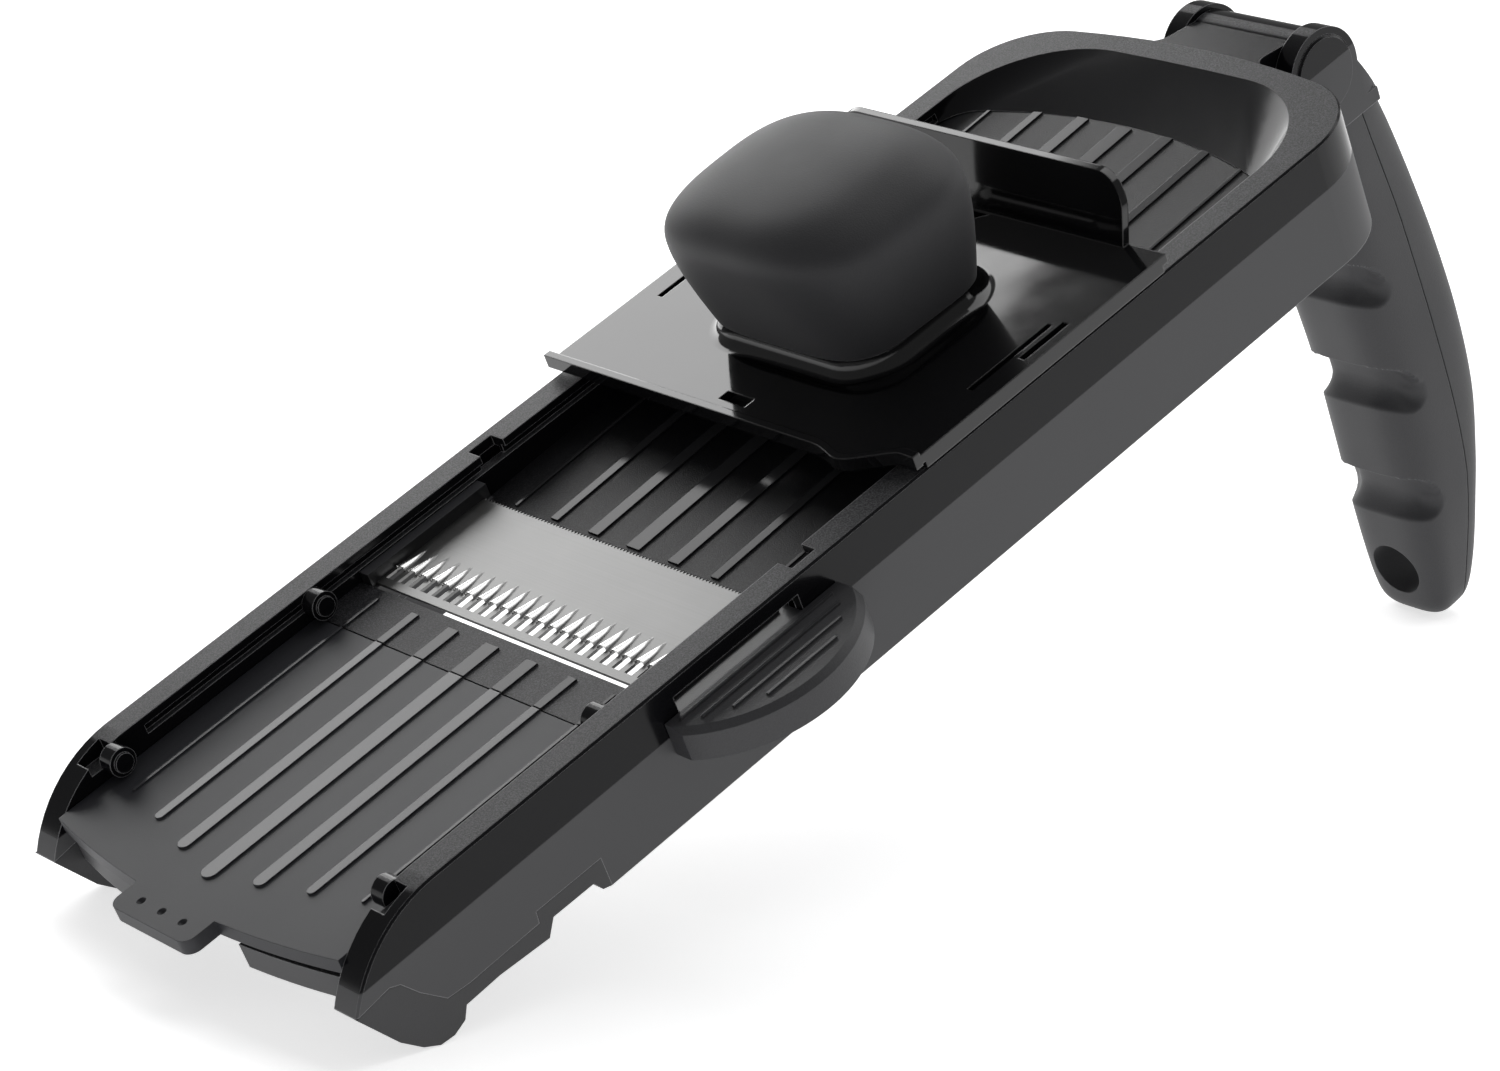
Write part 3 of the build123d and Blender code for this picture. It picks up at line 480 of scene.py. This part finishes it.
# ---- knob ----
KNOB_V = 136.6              # the knob's middle, up the slope
KNOB_SKIN = 1.7
KNOB_SPREAD = 0.03          # how much wider it is at its high side than in the middle
KNOB_PROFILE = (        # level, half width across, half width along the slope, squareness
    (10.0, 31.2, 22.5, 4.6), (13.0, 31.9, 23.4, 4.5), (20.0, 33.3, 25.5, 4.2),
    (28.0, 34.8, 27.7, 3.8), (34.5, 35.5, 29.2, 3.4), (38.6, 34.8, 29.5, 3.2),
    (41.6, 32.2, 28.4, 3.0), (44.2, 28.0, 25.6, 2.9), (45.9, 23.4, 21.8, 2.8),
    (46.9, 17.6, 16.6, 2.6), (47.5, 10.0, 9.6, 2.3), (47.7, 1.6, 1.5, 2.0),
)


def make_knob(material):
    """The pusher's knob: a soft skin, open below, with a broad flat top."""
    def form(share, angle):
        along = share * (len(KNOB_PROFILE) - 1)
        level, half_u, half_v, power = [curve_through(list(enumerate(column)), along)
                                        for column in zip(*KNOB_PROFILE)]
        u, v = squircle(angle, half_u, half_v, power)
        u *= 1.0 + KNOB_SPREAD * v / half_v
        return Vector((u, KNOB_V + v, level)) * MM

    knob = rolled_tube("knob_skin", 96, 72, form, open_start=True)
    add_modifier(knob, "SOLIDIFY", thickness=KNOB_SKIN * MM, offset=-1.0)
    settle(knob, "pusher", "soft_touch", material, "knob_cover")


# ---- leg ----
LEG_PROFILE = (         # level, front, back, half width
    (-203.0, 290.0, 300.0, 8.0), (-202.0, 288.6, 302.0, 10.6), (-199.0, 287.2, 304.0, 12.6),
    (-194.0, 286.6, 306.6, 13.8), (-186.0, 286.4, 310.0, 14.8), (-174.0, 286.6, 314.2, 15.8),
    (-160.0, 287.0, 319.0, 16.5), (-140.0, 287.6, 324.2, 17.0), (-116.0, 288.0, 325.8, 17.2),
    (-90.0, 286.8, 324.4, 17.6), (-66.0, 286.0, 320.8, 18.8), (-46.0, 285.0, 316.4, 20.6),
    (-33.5, 284.4, 312.6, 22.2),
)
LEG_JOINT = (           # level, where the two covers meet
    (-204.0, 297.0), (-190.0, 300.4), (-176.5, 304.6), (-158.0, 308.8), (-120.0, 310.0),
    (-74.5, 307.7), (-41.6, 302.3), (-32.0, 300.0),
)
LEG_SQUARENESS = 3.6
GROOVES = (             # level at the front, fall towards the back, reach along the side
    (-84.0, 0.6, 10.5), (-120.5, 0.6, 12.0), (-159.0, 0.4, 9.5),
)
GROOVE_HALF = 7.2           # half a groove's height, and how far its end is rounded
GROOVE_DEPTH = 4.2
HOLE_V = 300.0
HOLE_W = -186.5
HOLE_RADIUS = 8.3
HOLE_LENGTH = 90.0
JOINT_GAP = 0.35            # between the two covers
BLOCK_STEPS = 24            # of the block that splits the leg at the joint
BLOCK_WIDTH = 60.0
BLOCK_BACK = 345.0
BLOCK_MARGIN = 1.0          # the block goes this far past the joint's ends


def groove_cut(along, w):
    """How deep the finger grooves are: steep under their upper lip, shallow below."""
    for front_w, fall, reach in GROOVES:
        rise = (w - front_w + fall * along) / GROOVE_HALF
        past = max(along - reach + GROOVE_HALF, 0.0) / GROOVE_HALF
        away = sqrt(rise * rise + past * past)
        if away < 1.0:
            return GROOVE_DEPTH * (1.0 - away ** (2.0 + 7.0 * max(rise, 0.0)))
    return 0.0


def leg_form(share, angle):
    """The leg's skin, from its tip up to its collar."""
    end, top = LEG_PROFILE[0][0], LEG_PROFILE[-1][0]
    w = end + (top - end) * share
    front, back, half = [curve_through([(row[0], row[i]) for row in LEG_PROFILE], w)
                         for i in (1, 2, 3)]
    depth = (back - front) / 2
    u, v = squircle(angle, half, depth, LEG_SQUARENESS)
    cut = groove_cut(v + depth, w)
    if cut:
        out_u = abs(u / half) ** (LEG_SQUARENESS - 1) / half * (1 if u > 0 else -1)
        out_v = abs(v / depth) ** (LEG_SQUARENESS - 1) / depth * (1 if v > 0 else -1)
        length = sqrt(out_u * out_u + out_v * out_v)
        u -= cut * out_u / length
        v -= cut * out_v / length
    return Vector((u, (front + back) / 2 + v, w)) * MM


def cut_away(piece, cutter, operation="DIFFERENCE"):
    """Cuts a piece with another mesh, which is then deleted."""
    add_modifier(piece, "BOOLEAN", operation=operation, object=cutter, solver="EXACT")
    bpy.data.objects.remove(cutter)


def behind_joint(shift):
    """A block whose front follows the joint between the covers, moved back by shift."""
    deselect()
    bpy.ops.mesh.primitive_plane_add(size=1.0, location=(0, 0, 0))
    block = bpy.context.object
    bpy.ops.object.mode_set(mode="EDIT")
    bpy.ops.mesh.select_all(action="SELECT")
    extrude_up(BLOCK_STEPS)
    bpy.ops.object.mode_set(mode="OBJECT")
    low, high = LEG_JOINT[0][0] - BLOCK_MARGIN, LEG_JOINT[-1][0] + BLOCK_MARGIN
    for vertex in block.data.vertices:
        w = low + (high - low) * round(vertex.co.z) / BLOCK_STEPS
        v = curve_through(LEG_JOINT, w) + shift if vertex.co.y < 0 else BLOCK_BACK
        vertex.co = Vector((BLOCK_WIDTH * vertex.co.x, v, w)) * MM
    face_outwards()
    return block


def make_leg(grip_material, back_material):
    """The leg's two covers, with the hanging hole through both."""
    grip = rolled_tube("leg_grip_skin", 128, 300, leg_form)
    deselect()
    bpy.ops.mesh.primitive_cylinder_add(vertices=64, radius=HOLE_RADIUS * MM,
                                        depth=HOLE_LENGTH * MM,
                                        location=(0, HOLE_V * MM, HOLE_W * MM),
                                        rotation=(radians(90), 0, 0))
    cut_away(grip, bpy.context.object)
    back = grip.copy()
    back.data = grip.data.copy()
    back.name = "leg_back_skin"
    bpy.context.scene.collection.objects.link(back)
    cut_away(grip, behind_joint(-JOINT_GAP / 2))
    cut_away(back, behind_joint(JOINT_GAP / 2), "INTERSECT")
    settle(grip, "leg", "soft_touch", grip_material, "leg_grip", smooth=50)
    settle(back, "leg", "soft_touch", back_material, "leg_back_cover", smooth=50)


# ---- putting it together ----
def paint(material, *nodes):
    """Gives CAD nodes a finish."""
    for node in nodes:
        piece = frame["nodes"][node]
        if not piece.data.materials:
            piece.data.materials.append(material)
        for material_slot in piece.material_slots:
            material_slot.material = material


make_camera()
make_studio()
paint(frame_plastic(), "main_frame", "front_apron", "plate_retaining_pins", "leg_core",
      "hinge_caps")
paint(deck_plastic(), "infeed_ramp", "outlet_deck")
paint(plate_plastic(), "lower_plate")
paint(carrier_plastic(), "cartridge_carrier", "knob_core", "pusher_piston")
paint(blade_steel(), "blade_plate")
paint(fastener_steel(), "blade_rivets", "pusher_screws", "food_spikes", "leg_screws", "hinge_pin")
paint(grip_rubber(), "cartridge_grip")
paint(soft_touch("foot_rubber", (0.032, 0.032, 0.034), 1.2), "right_foot", "left_foot")
paint(guard_gloss(), "food_guard")
make_knob(soft_touch("knob_soft_touch", (0.015, 0.015, 0.017), 1.5))
make_leg(soft_touch("leg_grip_rubber", (0.019, 0.019, 0.021), 1.7),
         soft_touch("leg_back_rubber", (0.021, 0.021, 0.023), 1.7))
